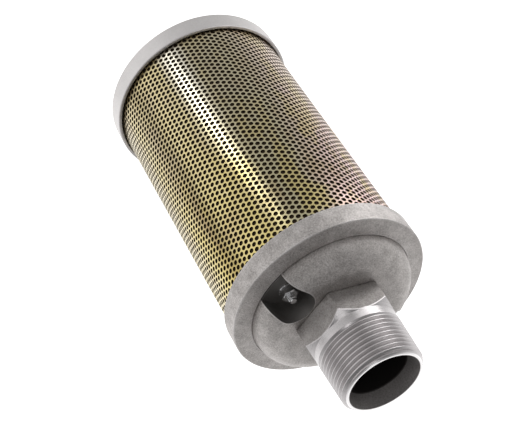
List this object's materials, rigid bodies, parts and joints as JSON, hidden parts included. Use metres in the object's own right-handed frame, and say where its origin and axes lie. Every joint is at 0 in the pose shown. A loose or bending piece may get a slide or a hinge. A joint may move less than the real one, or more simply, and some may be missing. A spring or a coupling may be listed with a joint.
{
  "type": "pneumatic muffler",
  "caption": "Round pneumatic exhaust muffler: perforated steel screen round felt, clamped by tie rods between two cast caps, one with a hexagon and a male taper pipe thread.",
  "frame": {"origin": "centre of the flat rest face of the closed end cap, on the muffler's axis", "axes": "+Z along the axis towards the threaded inlet's mouth; +X through tie rod a and its nut pocket, so the two rods lie in the XZ plane; +Y completes a right-handed set"},
  "size_m": [0.099, 0.099, 0.216],
  "materials": {
    "cast_aluminium": "fine as-cast surface, satin, with machined thread, shank and hexagon face",
    "chromated_steel": "yellow-chromated zinc plating, iridescent",
    "galvanised_steel": "dull galvanised",
    "zinc_steel": "bright zinc plating",
    "felt": "needled felt, dark brown",
    "gasket": "matt"
  },
  "bodies": {
    "root": {"inlet_cap": "cast_aluminium", "end_cap": "cast_aluminium", "outer_screen": "chromated_steel", "core_tube": "galvanised_steel", "felt_inner_layer": "felt", "felt_outer_layer": "felt", "inlet_gasket": "gasket", "end_gasket": "gasket", "tie_rod_a": "zinc_steel", "tie_rod_b": "zinc_steel", "inlet_nut_a": "zinc_steel", "inlet_nut_b": "zinc_steel", "inlet_lock_washer_a": "zinc_steel", "inlet_lock_washer_b": "zinc_steel", "inlet_flat_washer_a": "zinc_steel", "inlet_flat_washer_b": "zinc_steel", "end_nut_a": "zinc_steel", "end_nut_b": "zinc_steel", "end_lock_washer_a": "zinc_steel", "end_lock_washer_b": "zinc_steel", "end_flat_washer_a": "zinc_steel", "end_flat_washer_b": "zinc_steel"}
  },
  "joints": []
}
